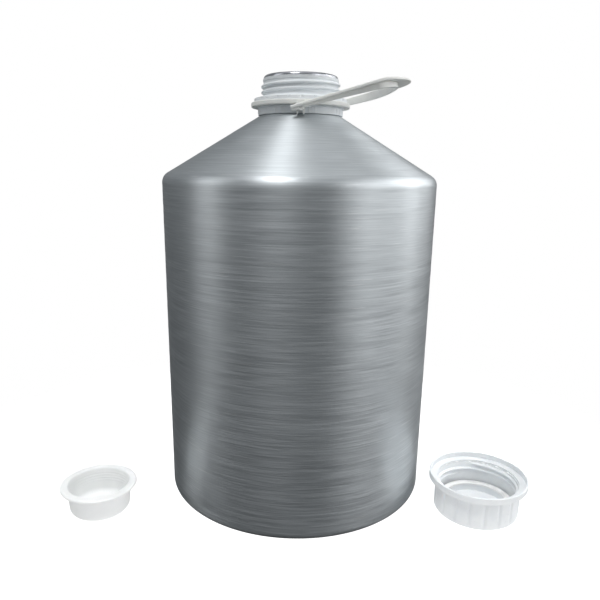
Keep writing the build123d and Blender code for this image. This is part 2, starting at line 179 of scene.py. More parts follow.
def skin(name, loops=(), shells=()):
    """One mesh from grids of points, rows by columns, covered with quads. The columns of every grid
    close on themselves, and so do the rows of a loop. A shell's first and last rows are each one
    point, and a fan closes it there. A grid whose signed volume, the sum of p0 . (p1 x p2) over
    its faces, is negative is turned the right way out."""
    vertices, faces, start = [], [], 0
    for grid, closed_rows in [(g, True) for g in loops] + [(g, False) for g in shells]:
        rows, columns = grid.shape[:2]
        ids = np.arange(rows * columns).reshape(rows, columns)
        keep = np.ones(rows * columns, bool)
        for row in (0, -1):
            if not closed_rows:
                keep[ids[row, 1:]] = False
                ids[row] = ids[row, 0]
        renumber = np.cumsum(keep) - 1
        ids = renumber[ids]
        i = np.arange(rows if closed_rows else rows - 1)[:, None]
        j = np.arange(columns)[None]
        below, above = i, (i + 1) % rows
        beside = (j + 1) % columns
        quads = np.stack([ids[below, j], ids[below, beside], ids[above, beside], ids[above, j]], -1)
        quads = quads.reshape(-1, 4)
        points = grid.reshape(-1, 3)[keep] * MM
        p = points - points.mean(0)
        halves = np.concatenate([quads[:, [0, 1, 2]], quads[:, [0, 2, 3]]])
        volume = (p[halves[:, 0]] * np.cross(p[halves[:, 1]], p[halves[:, 2]])).sum()
        if volume < 0:
            quads = quads[:, ::-1]
        first = quads[:, 0] == quads[:, 1]
        second = quads[:, 2] == quads[:, 3]
        faces += (quads[~(first | second)] + start).tolist()
        faces += (quads[first][:, [0, 2, 3]] + start).tolist()
        faces += (quads[second][:, [0, 1, 2]] + start).tolist()
        vertices.append(points)
        start += len(points)
    mesh = bpy.data.meshes.new(name)
    mesh.from_pydata(np.concatenate(vertices).tolist(), [], faces)
    mesh.polygons.foreach_set("use_smooth", [True] * len(mesh.polygons))
    mesh.update()
    piece = bpy.data.objects.new(name, mesh)
    bpy.context.scene.collection.objects.link(piece)
    return piece


def turned_grid(path, turns, shape=None, middle=(0, 0)):
    """A section carried round an upright axis: x = r cos t, y = r sin t, z, where shape(r, z, t)
    may change r and z from place to place."""
    t = turns[None, :]
    r = path[:, :1] + 0 * t
    z = path[:, 1:] + 0 * t
    if shape:
        r, z = shape(r, z, t)
    return np.stack([middle[0] + r * np.cos(t), middle[1] + r * np.sin(t), z], -1)


def even_turns(count):
    """Angles spaced evenly round the circle."""
    return np.arange(count) * FULL_TURN / count


def turns_with_steps(count, steps, width=0.0012):
    """Even angles, and a close pair at each step, so that a step there is a clean wall."""
    close = np.concatenate([steps - width, steps + width]) % FULL_TURN
    even = even_turns(count)
    gap = np.abs((even[:, None] - close[None] + math.pi) % FULL_TURN - math.pi).min(1)
    return np.sort(np.concatenate([even[gap > 2 * width], close]))


def around(angle):
    """The same angle from minus half a turn to half a turn."""
    return (angle + math.pi) % FULL_TURN - math.pi


def thread(z, t, bottom):
    """How high the screw thread stands at z and t, from 0 to 1. The ridge's middle climbs one pitch
    a turn from bottom, at the start angle; it is full within half its crest and 0 past half its
    foot, and it fades in and out over the run-in, an angle in radians."""
    full_wind = THREAD_TURNS * FULL_TURN
    turned_by = (t - THREAD_START) % FULL_TURN
    height = np.zeros_like(z)
    for lap in range(THREAD_TURNS + 1):
        wound = turned_by + lap * FULL_TURN
        middle = bottom + wound / FULL_TURN * THREAD_PITCH
        away = np.abs(z - middle)
        ridge = 1 - smooth_step(away, THREAD_CREST / 2, THREAD_FOOT / 2)
        run_in = smooth_step(wound, 0, THREAD_RUN_IN)
        run_out = 1 - smooth_step(wound, full_wind - THREAD_RUN_IN, full_wind)
        height = np.maximum(height, ridge * run_in * run_out)
    return height


# ---- Bottle -----------------------------------------------------------------------------------
# Height, angle from +X in degrees, half length in radians, depth, and rise per radian.
TOOL_MARKS = [
    (224.0, -52.0, 0.42, 0.10, 1.2),
    (181.0, -50.0, 0.50, 0.09, 1.6),
    (146.0, -58.0, 0.60, 0.07, 1.0),
    (121.0, -118.0, 0.70, 0.05, -0.8),
    (203.0, -96.0, 0.55, 0.05, 0.6),
    (92.0, -70.0, 0.80, 0.06, 0.5),
    (163.0, 60.0, 0.60, 0.08, -1.0),
    (110.0, 140.0, 0.70, 0.08, 0.8),
    (236.0, 175.0, 0.50, 0.07, 0.4),
]
MARK_HALF_WIDTH = 1.7


def spun_wall(r, z, t):
    """Marks of the spinning tool: the outside of the wall and shoulder is drawn in by up to a tenth
    of a millimetre in slow waves, and a few tool marks run part of the way round. Across and along,
    a mark fades as exp(-(distance / half width) squared)."""
    outside = smooth_step(r, shoulder_radius(z) - 0.9, shoulder_radius(z) - 0.5)
    on_wall = outside * smooth_step(z, 6, 14) * (1 - smooth_step(z, 300, 306))
    waves = 0.030 * (1 + np.sin(z * 0.36 + 1.4 * np.sin(t + 0.4)))
    waves = waves + 0.022 * (1 + np.sin(z * 0.83 + 2.1 * np.sin(2 * t - 1) + 1.7))
    marks = np.zeros_like(r)
    for height, where, width, depth, lean in TOOL_MARKS:
        off = around(t - math.radians(where))
        middle = height + lean * off
        across = ((z - middle) / MARK_HALF_WIDTH) ** 2
        marks = marks + depth * np.exp(-across - (off / width) ** 2)
    return r - on_wall * (waves + marks), z


def shoulder_radius(z):
    """Outside radius of the wall, shoulder and neck at a height."""
    on_cone = NECK_OUTER + (NECK_ROOT - z) / SLOPE
    return np.clip(on_cone, NECK_OUTER, BODY_RADIUS)


def bottle_shell():
    """Closed section of the spun wall: dished base, wall, shoulder, neck and its curled mouth on
    the outside, and the same again on the inside, turned round the axis."""
    foot_inner = BODY_RADIUS - BASE_CORNER - FOOT_WIDTH
    dish_edge = foot_inner - DISH_SLOPE
    outside = [
        (0, DISH_DEPTH),
        (dish_edge, DISH_DEPTH),
        (foot_inner, 0),
        (BODY_RADIUS, 0),
        (BODY_RADIUS, BODY_HEIGHT),
        (NECK_OUTER, NECK_ROOT),
        (NECK_OUTER, CURL_MIDDLE[1]),
    ]
    outside = rounded(outside, [0, 4, 2, BASE_CORNER, SHOULDER_CORNER, NECK_ROOT_CORNER, 0], step=7)
    cone_drop = BODY_WALL / math.cos(SHOULDER_ANGLE)
    inner_radius = BODY_RADIUS - BODY_WALL
    inner_corner = BODY_HEIGHT + BODY_WALL * SLOPE - cone_drop
    inside = [
        (NECK_BORE, CURL_MIDDLE[1]),
        (NECK_BORE, shoulder_height(NECK_BORE) - cone_drop),
        (inner_radius, inner_corner),
        (inner_radius, BODY_WALL),
        (foot_inner, BODY_WALL),
        (dish_edge, DISH_DEPTH + BODY_WALL),
        (0, DISH_DEPTH + BODY_WALL),
    ]
    radii = [0, NECK_ROOT_CORNER + BODY_WALL, SHOULDER_CORNER - BODY_WALL, BASE_CORNER - BODY_WALL]
    inside = rounded(inside, radii + [2, 4, 0])
    path = np.concatenate(
        [
            spread(outside, lambda at: 1.9 if at[0] > 60 and at[1] > 2 else 7.0),
            arc(CURL_MIDDLE, CURL_RADIUS - NECK_WALL, 165, -90, 15),
            arc(CURL_MIDDLE, CURL_RADIUS, -90, 165, 9),
            spread(inside, lambda at: 9.0),
        ]
    )
    return skin("bottle", shells=[turned_grid(path, even_turns(264), spun_wall)])


# ---- Neck collar ------------------------------------------------------------------------------
LOCK_TEETH = 24
LOCK_NOTCH_DEPTH = 0.8
LOCK_NOTCH_SLOPE = 0.335
LOCK_RIM = 0.9
SPLINE_PAIRS = 8
SPLINE_SPREAD = math.radians(8)
SPLINE_FIRST = math.radians(-120)
SPLINE_HALF_WIDTH = 0.5 / SKIRT_RADIUS
SPLINE_DEPTH = 0.4
SPLINE_HEIGHT = 4.9


def collar_shape(r, z, t):
    """Adds to the turned collar its screw thread, the splines of its skirt and the notches between
    its ratchet teeth. A notch's floor is the straight line from a tooth's root to the next crest."""
    on_sleeve = (r > SLEEVE_RADIUS - 0.5) & (r < SLEEVE_RADIUS + 2) & (z > LOCK_TOP + LOCK_CROWN - 0.2)
    on_sleeve = on_sleeve & (z < COLLAR_TOP - 0.1)
    crest = SLEEVE_RADIUS + THREAD_DEPTH * thread(z, t, THREAD_BOTTOM)
    r = np.where(on_sleeve, np.maximum(r, crest), r)
    off = around(t - SPLINE_FIRST)
    pair_turn = FULL_TURN / SPLINE_PAIRS
    in_pair = (off + pair_turn / 2) % pair_turn - pair_turn / 2
    beside = np.abs(np.abs(in_pair) - SPLINE_SPREAD / 2)
    spline = 1 - smooth_step(beside, SPLINE_HALF_WIDTH * 0.45, SPLINE_HALF_WIDTH * 1.1)
    spline = spline * smooth_step(z, SKIRT_BOTTOM + 0.3, SKIRT_BOTTOM + 0.8)
    spline_top = SKIRT_BOTTOM + SPLINE_HEIGHT
    spline = spline * (1 - smooth_step(z, spline_top - 0.6, spline_top))
    r = np.where(np.abs(r - SKIRT_RADIUS) < 0.05, r + SPLINE_DEPTH * spline, r)
    tooth_turn = FULL_TURN / LOCK_TEETH
    into_tooth = np.mod(t + 1e-6, tooth_turn) * LOCK_RADIUS
    notch = LOCK_RADIUS - LOCK_NOTCH_DEPTH + LOCK_NOTCH_SLOPE * into_tooth
    cut = (z > LOCK_BOTTOM + LOCK_RIM + 0.01) & (z < LOCK_TOP + 0.4) & (r > LOCK_RADIUS - 1)
    return np.where(cut, np.minimum(r, notch), r), z


def neck_collar():
    """Closed section of the collar: seat on the shoulder, skirt, snap bead, ratchet flange, threaded
    sleeve, lip round the curled mouth and bore, turned round the axis."""
    throat = NECK_OUTER + 1.25 * NECK_ROOT_CORNER
    bead_top = RING_BOTTOM - 0.1
    corners = [
        (COLLAR_BORE, NECK_ROOT + NECK_ROOT_CORNER),
        (throat, shoulder_height(throat) + 0.2),
        (SKIRT_INNER, shoulder_height(SKIRT_INNER) + 0.2),
        (SKIRT_RADIUS, SKIRT_BOTTOM),
        (SKIRT_RADIUS, bead_top - 0.8),
        (BEAD_RADIUS, bead_top - 0.8),
        (BEAD_RADIUS, bead_top),
        (SKIRT_RADIUS, bead_top),
        (SKIRT_RADIUS, LOCK_BOTTOM),
        (LOCK_RADIUS, LOCK_BOTTOM),
        (LOCK_RADIUS, LOCK_BOTTOM + LOCK_RIM),
        (LOCK_RADIUS - 0.01, LOCK_BOTTOM + LOCK_RIM + 0.02),
        (LOCK_RADIUS, LOCK_TOP),
        (SLEEVE_RADIUS, LOCK_TOP + LOCK_CROWN),
        (SLEEVE_RADIUS, COLLAR_TOP - LIP_HEIGHT - LIP_STEP),
        (SLEEVE_RADIUS + LIP_STEP, COLLAR_TOP - LIP_HEIGHT),
        (SLEEVE_RADIUS + LIP_STEP, COLLAR_TOP),
        (CURL_MIDDLE[0] + CURL_RADIUS + 0.05, COLLAR_TOP),
    ]
    radii = [0, 0.4, 0.3, 0.35, 0.2, 0.3, 0.3, 0.2, 0.2, 0.3, 0, 0, 0.45, 2.5, 0.4, 0.4, 0.2, 0]
    edge = rounded(corners, radii)
    seat = arc(CURL_MIDDLE, CURL_RADIUS + 0.05, -8, -117, 12)
    path = np.concatenate([edge, seat])

    def spacing(at):
        on_thread = abs(at[0] - SLEEVE_RADIUS) < 1 and at[1] > LOCK_TOP + 2
        on_skirt = at[0] > 32 and at[1] < RING_BOTTOM
        return 0.19 if on_thread else 0.5 if on_skirt else 1.2

    path = spread(path, spacing, closed=True)
    teeth = np.arange(LOCK_TEETH) * FULL_TURN / LOCK_TEETH
    turns = turns_with_steps(512, teeth)
    return skin("neck_collar_moulded", loops=[turned_grid(path, turns, collar_shape)])


# ---- Handle ring ------------------------------------------------------------------------------
RING_BORE = SKIRT_RADIUS + 0.3
RING_RADIUS = (ring_high[0] - ring_low[0]) / 2
LUG_BOTTOM = ring_low[2]
LUG_OUTER = RING_RADIUS + 0.2
LUG_INNER = BEAD_RADIUS + 0.4
LUG_HALF_WIDTH = 3.2 / LUG_OUTER
LUG_SLOT_HALF_WIDTH = 1.9 / LUG_OUTER
LUG_SLOT_HEIGHT = 2.6
PIVOT_HEIGHT = RING_BOTTOM - 2.6
PEG_RADIUS = 1.1
PEG_END = ring_high[1]
ARM_INNER = LUG_OUTER + 0.4
ARM_THICKNESS = 2.2
ARM_OUTER = ARM_INNER + ARM_THICKNESS
LUG_EDGE = 0.008


def ring_section(low, inner, outer):
    """Rounded section of the ring with its lower end at low, from the bore round to the bore. It
    has the same number of points whatever its sizes."""
    corners = [
        (RING_BORE, RING_TOP),
        (RING_BORE, RING_BOTTOM),
        (inner, RING_BOTTOM - 0.01),
        (inner + 0.25, low),
        (outer, low),
        (outer, RING_TOP),
    ]
    path = rounded(corners, [0.5, 0.3, 0, 0.4, 0.7, 0.7], count=5)
    ahead = np.roll(path, -1, 0) - path
    length = np.linalg.norm(ahead, axis=1)[:, None]
    near = np.minimum(EDGE_GUARD, length / 3) / np.maximum(length, 1e-9) * ahead
    return np.stack([path, path + near, path + ahead - near], 1).reshape(-1, 2)


def handle_ring():
    """The ring's section changes round the circle: a share of the lug's longer section is mixed in
    near the front and back, and a share of the slot's shorter one at the middle of each lug."""
    edges = np.linspace(-1.5, 1.5, 7) * LUG_EDGE
    sides = [s * w for s in (-1, 1) for w in (LUG_HALF_WIDTH, LUG_SLOT_HALF_WIDTH)]
    close = np.concatenate([m + s + edges for m in (math.pi / 2, 1.5 * math.pi) for s in sides])
    turns = np.unique(np.concatenate([even_turns(300), close % FULL_TURN]))[None, :]
    off = np.abs(around(2 * (turns - math.pi / 2))) / 2
    lug = 1 - smooth_step(off, LUG_HALF_WIDTH - LUG_EDGE, LUG_HALF_WIDTH + LUG_EDGE)
    slot = 1 - smooth_step(off, LUG_SLOT_HALF_WIDTH - LUG_EDGE, LUG_SLOT_HALF_WIDTH + LUG_EDGE)
    plain = ring_section(RING_BOTTOM - 0.02, LUG_INNER, RING_RADIUS)[:, None]
    hung = ring_section(LUG_BOTTOM, LUG_INNER, LUG_OUTER)[:, None]
    notched = ring_section(LUG_BOTTOM + LUG_SLOT_HEIGHT, LUG_INNER, LUG_OUTER)[:, None]
    lug, slot = lug[..., None], slot[..., None]
    section = plain * (1 - lug) + (hung * (1 - slot) + notched * slot) * lug
    r, z = section[..., 0], section[..., 1]
    ring = np.stack([r * np.cos(turns), r * np.sin(turns), z], -1)
    return skin("handle_ring_moulded", loops=[ring], shells=pivot_pegs())


def pivot_pegs():
    """Two plain pegs on the axis across the ring, each a small section turned round that axis."""
    corners = [
        (0, LUG_OUTER - 1),
        (PEG_RADIUS, LUG_OUTER - 1),
        (PEG_RADIUS, PEG_END),
        (0, PEG_END),
    ]
    path = spread(rounded(corners, [0, 0, 0.3, 0]), lambda at: 0.6)
    t = even_turns(48)[None, :]
    r, out = path[:, :1], path[:, 1:] + 0 * t
    front = np.stack([r * np.cos(t), -out, PIVOT_HEIGHT + r * np.sin(t)], -1)
    back = np.stack([r * np.cos(t), out, PIVOT_HEIGHT + r * np.sin(t)], -1)
    return [front, back]


# ---- Carry handle -----------------------------------------------------------------------------
HANDLE_ANGLE = math.radians(16.4)
HANDLE_REACH = 87.0
DROOP_START = 64.0
TIP_DROOP = 4.2
FLANGE_ARM_WIDTH = 2.2
FLANGE_ROOT_WIDTH = 0.8
FLANGE_TIP_WIDTH = 10.5
FLANGE_THICKNESS = 2.2
FLANGE_TIP_THICKNESS = 1.6
WEB_END = HANDLE_REACH - FLANGE_TIP_WIDTH
ARM_STRAIGHT = 56.0
ARM_TOP = 3.0
HUB_BORE = PEG_RADIUS + 0.08
HUB_TAIL = 7.2
EYE_RADIUS = 2.3


def bail_curve(half_width, end, along, bow):
    """Plan of the bail: straight to the end of the arms, then half an ellipse from one arm to the
    other: (start + (end - start) cos, half width sin) of the bow angle."""
    x = along + (end - ARM_STRAIGHT) * np.cos(bow)
    return np.stack([x, half_width * np.sin(bow)], -1)


def tilted(s, y, n):
    """From the handle's own place, s along the arms and n up, to where it stands at rest."""
    x = s * math.cos(HANDLE_ANGLE) - n * math.sin(HANDLE_ANGLE)
    z = s * math.sin(HANDLE_ANGLE) + n * math.cos(HANDLE_ANGLE) + PIVOT_HEIGHT
    return np.stack([x, y, z], -1)


def bail_top(s):
    """Height of the bail's upper face: level along the arms, then falling evenly to the tip, with a
    soft start: half of (u + square root of (u squared + 1)), where u is the distance past the start."""
    past = s - DROOP_START
    return ARM_TOP - TIP_DROOP / (HANDLE_REACH - DROOP_START) * (past + np.sqrt(past**2 + 1)) / 2


def bail_under(s):
    """Height of the flange's lower face: the upper face less a thickness that thins to the tip."""
    thinned = smooth_step(s, DROOP_START, HANDLE_REACH)
    return bail_top(s) - FLANGE_THICKNESS + (FLANGE_THICKNESS - FLANGE_TIP_THICKNESS) * thinned


def bail_low(s):
    """Height of the web's lower edge, which falls away from the pivot as far as the bow. Over the
    eye only the strip above the peg belongs to the arm, and the hub makes the rest."""
    return -np.interp(s, [1.0, 2.2, 22, 42, 60, 70], [-1.3, 0.8, 1.7, 2.6, 3.6, 4.2])


def bail_arms():
    """Angle section carried along the bail's plan. The section is an upright web with a flange at
    its top; each of its rounded corners follows the inner, outer or flange curve of the plan."""
    run = np.concatenate([[0, 0.12, 0.4, 1.2], np.arange(2, 12, 0.5), [12.5, 13.5, 15]]) - HUB_TAIL
    run = np.concatenate([run, np.linspace(9.5, ARM_STRAIGHT, 22)])
    bend = np.radians(np.linspace(-90, 90, 97))[1:-1]
    along = np.concatenate([run, np.full(len(bend), ARM_STRAIGHT), run[::-1]])
    bow = np.concatenate([np.full(len(run), -math.pi / 2), bend, np.full(len(run), math.pi / 2)])
    inner = bail_curve(ARM_INNER, WEB_END - ARM_THICKNESS, along, bow)
    outer = bail_curve(ARM_OUTER, WEB_END, along, bow)
    brim = np.interp(along, [-HUB_TAIL, ARM_STRAIGHT], [FLANGE_ROOT_WIDTH, FLANGE_ARM_WIDTH])
    flange = bail_curve(ARM_OUTER + brim, HANDLE_REACH, along, bow)
    across = outer - inner
    across = across / np.linalg.norm(across, axis=1)[:, None]
    edge, lip, web_root = 0.45, 0.6, 0.5
    # Curve, height, offsets of the arc's middle outwards and upwards, radius, and its angles.
    corners = [
        (inner, bail_low, edge, edge, edge, 270, 180),
        (inner, bail_top, edge, -edge, edge, 180, 90),
        (flange, bail_top, -lip, -lip, lip, 90, 0),
        (flange, bail_under, -lip, lip, lip, 0, -90),
        (outer, bail_under, web_root, -web_root, web_root, 90, 180),
        (outer, bail_low, -edge, edge, edge, 0, -90),
    ]
    columns = []
    for curve, height, out, up, radius, first, last in corners:
        turn = np.radians(np.linspace(first, last, 6))
        outward = out + radius * np.cos(turn)
        upward = up + radius * np.sin(turn)
        plan = curve[:, None] + outward[None, :, None] * across[:, None]
        n = height(plan[..., 0]) + upward[None]
        columns.append(np.concatenate([plan, n[..., None]], -1))
    section = np.concatenate(columns, 1)
    # Both ends close flat.
    middle = section.mean(1, keepdims=True)
    shrink = np.ones(len(section))
    shrink[[0, -1]] = 0
    shrink[[1, -2]] = 0.9
    section = middle + shrink[:, None, None] * (section - middle)
    return tilted(section[..., 0], section[..., 1], section[..., 2])


def bail_hub(side):
    """Flat end plate of an arm with the eye that runs on the peg. Its outline joins a bar and a
    round eye. The bar is the smooth minimum of four straight sides, the sum of (cos / distance) to
    the sixth, to the power of -1/6. The smooth maximum of the two uses the twelfth power."""
    turn = even_turns(96)[None, :]
    sides = [(0, EYE_RADIUS), (90, ARM_TOP - 0.1), (180, HUB_TAIL - 0.05), (270, 0.95)]
    total = 0
    for angle, distance in sides:
        facing = np.maximum(np.cos(turn - math.radians(angle)), 0)
        total = total + (facing / distance) ** 6
    outline = (total**-2 + EYE_RADIUS**12) ** (1 / 12)
    bore = HUB_BORE + 0 * outline
    near, far = ARM_INNER - 0.04, ARM_OUTER + 0.04
    # Each edge is rounded: its two ends and one point between them.
    edge, edge_cut = 0.55, 0.16
    mouth, mouth_cut = 0.2, 0.06
    rows = [
        (bore, near + mouth),
        (bore + mouth_cut, near + mouth_cut),
        (bore + mouth, near),
        (outline - edge, near),
        (outline - edge_cut, near + edge_cut),
        (outline, near + edge),
        (outline, far - edge),
        (outline - edge_cut, far - edge_cut),
        (outline - edge, far),
        (bore + mouth, far),
        (bore + mouth_cut, far - mouth_cut),
        (bore, far - mouth),
    ]
    reach = np.concatenate([row[0] for row in rows])
    y = np.stack([np.full(turn.shape[1], side * row[1]) for row in rows])
    return tilted(reach * np.cos(turn), y, reach * np.sin(turn))


def carry_handle():
    """The bail with its two hubs."""
    return skin("carry_handle_moulded", loops=[bail_hub(-1), bail_hub(1)], shells=[bail_arms()])


# ---- Screw cap, standing on its crown ---------------------------------------------------------
CAP_MIDDLE = (cap_low + cap_high)[:2] / 2
CAP_RADIUS = 33.0
CAP_INNER = 31.05
CAP_LENGTH = cap_high[2]
CAP_PANELS = 18
CAP_GROOVE_DEPTH = 0.8
CAP_GROOVE_HALF_WIDTH = 2.1
CAP_PANEL_CROWN = 0.16
BOSS_OUTER = 28.25
BOSS_INNER = 24.45
BOSS_TOP = gasket_low[2]
CAP_CROWN = 2.0
CAP_THREAD_BOTTOM = CAP_LENGTH - 1.65 - THREAD_TURNS * THREAD_PITCH


def cap_shape(r, z, t):
    """Shallow grooves between slightly crowned panels outside, and the thread inside."""
    panel = FULL_TURN / CAP_PANELS
    off = np.abs(np.mod(t - panel / 4 + panel / 2, panel) - panel / 2) * CAP_RADIUS
    groove = 0.5 + 0.5 * np.cos(np.clip(off / CAP_GROOVE_HALF_WIDTH, 0, 1) * math.pi)
    across = np.clip(off / (panel * CAP_RADIUS / 2), 0, 1)
    crowned = CAP_PANEL_CROWN * (1 - np.sin(across * math.pi / 2))
    rise = smooth_step(z, 1.2, 6)
    drawn_in = (CAP_GROOVE_DEPTH * groove + crowned) * rise
    outside = smooth_step(r, CAP_INNER + 0.6, CAP_RADIUS - 0.35)
    ridge = THREAD_DEPTH * thread(z, t, CAP_THREAD_BOTTOM)
    inside = (np.abs(r - CAP_INNER) < 0.02) & (z > BOSS_TOP)
    return np.where(inside, r - ridge, r - outside * drawn_in), z


def cap_shell():
    """Closed section of the cap: crown, skirt, bore and the boss under the gasket, turned round
    the cap's own axis."""
    corners = [
        (0, 0.25),
        (CAP_RADIUS - 6.5, 0.25),
        (CAP_RADIUS - 5.5, 0),
        (CAP_RADIUS, 0),
        (CAP_RADIUS, CAP_LENGTH),
        (CAP_INNER, CAP_LENGTH),
        (CAP_INNER, CAP_CROWN),
        (BOSS_OUTER, CAP_CROWN),
        (BOSS_OUTER, BOSS_TOP),
        (BOSS_INNER, BOSS_TOP),
        (BOSS_INNER, CAP_CROWN),
        (0, CAP_CROWN),
    ]
    radii = [0, 0.3, 0.3, 3.5, 0.4, 0.3, 0.5, 0.5, 0.3, 0.3, 0.5, 0]
    path = rounded(corners, radii)

    def spacing(at):
        on_thread = abs(at[0] - CAP_INNER) < 0.1 and at[1] > 10
        return 0.2 if on_thread else 1.5 if at[0] > 30 else 6.0

    path = spread(path, spacing)
    grid = turned_grid(path, even_turns(432), cap_shape, CAP_MIDDLE)
    return skin("cap_moulded", shells=[grid])


BAND_BOTTOM = band_low[2]
BAND_TOP = band_high[2]
BAND_OUTER = (band_high[0] - band_low[0]) / 2
BAND_INNER = 36.6
BAND_LIP = 1.2
PAWL_COUNT = 8
PAWL_DEPTH = 0.45
PAWL_HALF_WIDTH = 2.5
PAWL_LENGTH = 2.6
PAWL_FIRST = math.radians(20)
BRIDGE_COUNT = 8
BRIDGE_FIRST = math.radians(10)
BRIDGE_WAIST = 0.36
BRIDGE_FLARE = 0.12
BRIDGE_SUNK = 0.12


def band_shape(r, z, t):
    """Pawls inside the band: each is deepest at its lower end and runs out upwards."""
    pitch = FULL_TURN / PAWL_COUNT
    off = np.abs(np.mod(t - PAWL_FIRST + pitch / 2, pitch) - pitch / 2) * BAND_INNER
    wide = 1 - smooth_step(off, PAWL_HALF_WIDTH - 0.4, PAWL_HALF_WIDTH)
    bottom = BAND_BOTTOM + BAND_LIP + 0.5
    run_out = np.clip((BAND_TOP - 0.5 - z) / PAWL_LENGTH, 0, 1)
    tall = smooth_step(z, bottom, bottom + 0.3) * run_out
    inside = (np.abs(r - BAND_INNER) < 0.05) & (z > BAND_BOTTOM + BAND_LIP + 0.1)
    return np.where(inside, r - PAWL_DEPTH * wide * tall, r), z


def lock_band():
    """Closed section of the band with its inward lip, turned round the cap's axis."""
    lip_inner = CAP_INNER + 0.3
    corners = [
        (lip_inner, BAND_BOTTOM),
        (BAND_OUTER, BAND_BOTTOM),
        (BAND_OUTER, BAND_TOP),
        (BAND_INNER, BAND_TOP),
        (BAND_INNER, BAND_BOTTOM + BAND_LIP),
        (lip_inner, BAND_BOTTOM + BAND_LIP),
    ]
    path = rounded(corners, [0.3, 0.9, 0.6, 0.5, 0.3, 0.3])

    def spacing(at):
        on_pawls = at[0] < BAND_INNER + 0.1 and at[1] > BAND_BOTTOM + BAND_LIP + 0.1
        return 0.4 if on_pawls else 2

    path = spread(path, spacing, closed=True)
    grid = turned_grid(path, even_turns(384), band_shape, CAP_MIDDLE)
    return skin("lock_band_moulded", loops=[grid])


def band_bridges():
    """Thin posts between cap and band, sunk a little into both, each a waisted spool turned round its
    own axis."""
    share = np.linspace(-1, 1, 9)
    reach = BRIDGE_WAIST + BRIDGE_FLARE * share**2
    low, high = CAP_LENGTH - BRIDGE_SUNK, BAND_BOTTOM + BRIDGE_SUNK
    height = (low + high) / 2 + share * (high - low) / 2
    path = np.stack([np.concatenate([[0], reach, [0]]), np.concatenate([[low], height, [high]])], 1)
    out = (CAP_INNER + CAP_RADIUS - CAP_GROOVE_DEPTH) / 2
    grids = []
    for turn in BRIDGE_FIRST + even_turns(BRIDGE_COUNT):
        middle = CAP_MIDDLE + out * np.array([math.cos(turn), math.sin(turn)])
        grids.append(turned_grid(path, even_turns(16), None, middle))
    return skin("band_bridges_moulded", shells=grids)


GASKET_WIDTH = 5
PRESSED_HALF_WIDTH = 0.9
PRESSED_DEPTH = 0.14


def cap_gasket():
    """Foam ring with soft edges and a shallow groove pressed into its face by the plug's flange."""
    middle = (gasket_low + gasket_high)[:2] / 2
    outer = (gasket_high[0] - gasket_low[0]) / 2
    low, high = gasket_low[2], gasket_high[2]
    inner = outer - GASKET_WIDTH
    pressed = (outer + inner) / 2
    corners = [
        (inner, low),
        (outer, low),
        (outer, high),
        (pressed + PRESSED_HALF_WIDTH, high),
        (pressed, high - PRESSED_DEPTH),
        (pressed - PRESSED_HALF_WIDTH, high),
        (inner, high),
    ]
    path = rounded(corners, [0.3, 0.3, 0.45, 0.6, 0.6, 0.6, 0.45])
    path = spread(path, lambda at: 1.0, closed=True)
    return skin("gasket_ring", loops=[turned_grid(path, even_turns(192), None, middle)])


# ---- Inner plug -------------------------------------------------------------------------------
PLUG_MIDDLE = (plug_low + plug_high)[:2] / 2
PLUG_HEIGHT = plug_high[2]
PLUG_FLANGE_RADIUS = (plug_high[0] - plug_low[0]) / 2
PLUG_RIM = NECK_BORE - 0.15
PLUG_TAPER = 1.5
PLUG_FLOOR_RADIUS = PLUG_RIM - PLUG_TAPER
PLUG_WALL = 1.1
SEAL_PITCH = 2.3
SEAL_HEIGHT = 0.22
SEAL_BOTTOM = 11


def plug_shape(r, z, t):
    """Four low sealing rings inside the upper wall: rounded waves that fade out downwards."""
    wall = PLUG_RIM - PLUG_WALL - (PLUG_HEIGHT - z) * PLUG_TAPER / PLUG_HEIGHT
    near_wall = 1 - smooth_step(np.abs(r - wall), 0.25, 0.6)
    zone = smooth_step(z, 10.5, 13) * (1 - smooth_step(z, PLUG_HEIGHT - 2.2, PLUG_HEIGHT - 1.2))
    wave = 0.5 - 0.5 * np.cos((z - SEAL_BOTTOM) * FULL_TURN / SEAL_PITCH)
    return r - near_wall * zone * SEAL_HEIGHT * wave, z


def inner_plug():
    """Closed section of the cup and its flange, turned round the plug's own axis."""
    flange_bottom = PLUG_HEIGHT - 2.5
    corners = [
        (0, 0.35),
        (PLUG_FLOOR_RADIUS - 7.5, 0.35),
        (PLUG_FLOOR_RADIUS - 6.5, 0),
        (PLUG_FLOOR_RADIUS, 0),
        (PLUG_RIM, flange_bottom),
        (PLUG_FLANGE_RADIUS, flange_bottom),
        (PLUG_FLANGE_RADIUS, PLUG_HEIGHT),
        (PLUG_RIM - PLUG_WALL, PLUG_HEIGHT),
        (PLUG_FLOOR_RADIUS - PLUG_WALL, PLUG_WALL),
        (0, PLUG_WALL),
    ]
    path = rounded(corners, [0, 0.3, 0.3, 5.5, 0.5, 1.1, 1.1, 1.2, 4.4, 0], step=8)
    path = spread(path, lambda at: 0.3 if 22 < at[0] < 24 and at[1] > 6 else 3.0)
    grid = turned_grid(path, even_turns(288), plug_shape, PLUG_MIDDLE)
    return skin("plug_moulded", shells=[grid])


# ---- Finishes ---------------------------------------------------------------------------------
class Value:
    """A socket of a finish. Arithmetic on number sockets adds Math nodes."""

    def __init__(self, finish, socket):
        self.finish = finish
        self.socket = socket

    def math(self, operation, other):
        return self.finish.node("Math", {"operation": operation}, {0: self, 1: other})

    def __add__(self, other):
        return self.math("ADD", other)

    def __sub__(self, other):
        return self.math("SUBTRACT", other)

    def __mul__(self, other):
        return self.math("MULTIPLY", other)

    def __pow__(self, other):
        return self.math("POWER", other)

    __radd__ = __add__


